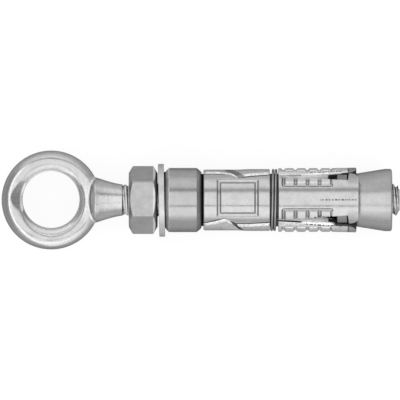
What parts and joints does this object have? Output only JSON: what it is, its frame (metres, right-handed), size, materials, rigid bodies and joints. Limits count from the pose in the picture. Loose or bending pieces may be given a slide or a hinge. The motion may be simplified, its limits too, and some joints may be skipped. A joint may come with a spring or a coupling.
{
  "type": "shield anchor with eye bolt",
  "caption": "Expansion shield anchor with a forged eye bolt: turning the hex nut draws a cone nut into steel segments, which spread and grip the drilled hole.",
  "frame": {"origin": "centre of the hole through the eye, on the axis of the bolt", "axes": "+X along the bolt from the eye to the cone nut, +Z along the hole of the eye"},
  "size_m": [0.0873, 0.0216, 0.016],
  "materials": {
    "forged_eye": "bright zinc plate on a smooth forging",
    "nut_steel": "satin zinc plate",
    "washer_steel": "satin zinc plate",
    "collar_steel": "bright zinc plate on drawn steel",
    "shield_steel": "bright zinc plate on pressed steel",
    "spring_steel": "zinc plated spring wire",
    "cone_steel": "bright zinc plate on turned steel"
  },
  "bodies": {
    "shield": {"collar": "collar_steel", "spring_ring": "spring_steel", "washer": "washer_steel"},
    "nut": {"hex_nut": "nut_steel"},
    "cone": {"cone_nut": "cone_steel"},
    "eyebolt": {"eyebolt": "forged_eye"},
    "segment_upper": {"segment_upper": "shield_steel"},
    "segment_left": {"segment_left": "shield_steel"},
    "segment_lower": {"segment_lower": "shield_steel"},
    "segment_right": {"segment_right": "shield_steel"}
  },
  "joints": [
    {"name": "nut_turn", "type": "hinge", "parent": "shield", "child": "nut", "pos_m": [0.0202, 0, 0], "axis": [1, 0, 0], "range_deg": [0, 1082]},
    {"name": "bolt_draw", "type": "slide", "parent": "shield", "child": "cone", "axis": [-1, 0, 0], "range_m": [0, 0.00375]},
    {"name": "eye_turn", "type": "hinge", "parent": "cone", "child": "eyebolt", "pos_m": [0, 0, 0], "axis": [1, 0, 0], "range_deg": [-180, 180]},
    {"name": "upper_spread", "type": "hinge", "parent": "shield", "child": "segment_upper", "pos_m": [0.0323, 0.00044, 0.00558], "axis": [0, -0.9969, 0.0785], "range_deg": [0, 1.46]},
    {"name": "left_spread", "type": "hinge", "parent": "shield", "child": "segment_left", "pos_m": [0.0323, 0.00558, -0.00044], "axis": [0, 0.0785, 0.9969], "range_deg": [0, 1.46]},
    {"name": "lower_spread", "type": "hinge", "parent": "shield", "child": "segment_lower", "pos_m": [0.0323, -0.00044, -0.00558], "axis": [0, 0.9969, -0.0785], "range_deg": [0, 1.46]},
    {"name": "right_spread", "type": "hinge", "parent": "shield", "child": "segment_right", "pos_m": [0.0323, -0.00558, 0.00044], "axis": [0, -0.0785, -0.9969], "range_deg": [0, 1.46]}
  ],
  "couplings": [
    {"joint": "nut_turn", "follows": "bolt_draw", "rad_per_m": 5026.5},
    {"joint": "upper_spread", "follows": "bolt_draw", "rad_per_m": 6.7486},
    {"joint": "left_spread", "follows": "bolt_draw", "rad_per_m": 6.7486},
    {"joint": "lower_spread", "follows": "bolt_draw", "rad_per_m": 6.7486},
    {"joint": "right_spread", "follows": "bolt_draw", "rad_per_m": 6.7486}
  ]
}
